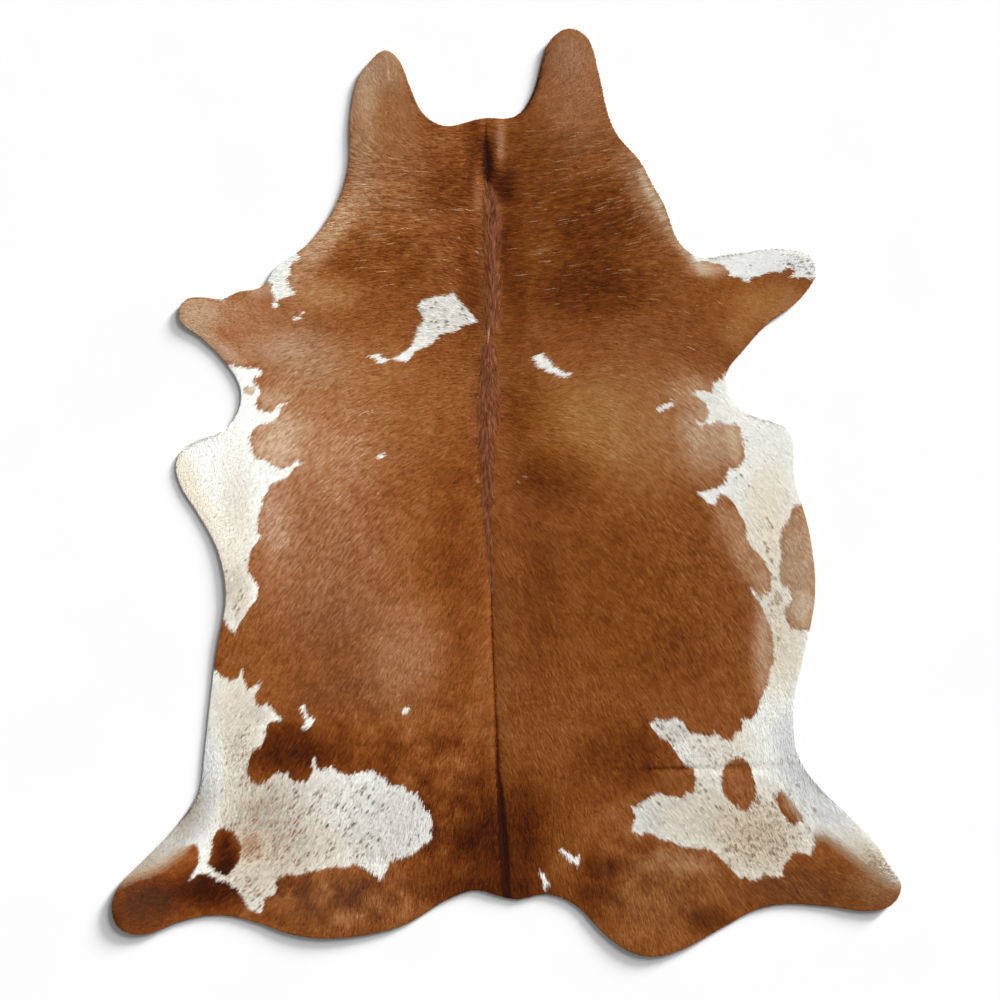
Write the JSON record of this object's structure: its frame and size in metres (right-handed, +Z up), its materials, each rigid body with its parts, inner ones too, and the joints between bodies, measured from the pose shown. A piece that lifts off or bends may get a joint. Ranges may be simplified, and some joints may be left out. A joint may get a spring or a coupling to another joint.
{
  "type": "cowhide rug",
  "caption": "Flat one-piece rug: a whole brown and white hide, hair side up, cut round the neck, the legs and the rump, with its bare leather side on the floor.",
  "frame": {"origin": "on the floor, under the middle of the rug's box", "axes": "+Y along the back towards the neck, +X to the right as seen from above with the neck up, +Z up out of the hair side"},
  "size_m": [1.814, 2.134, 0.0089],
  "materials": {
    "hide": "tanned leather with its short hair left on, brown with white patches, suede underneath"
  },
  "bodies": {
    "root": {"hide": "hide"}
  },
  "joints": []
}
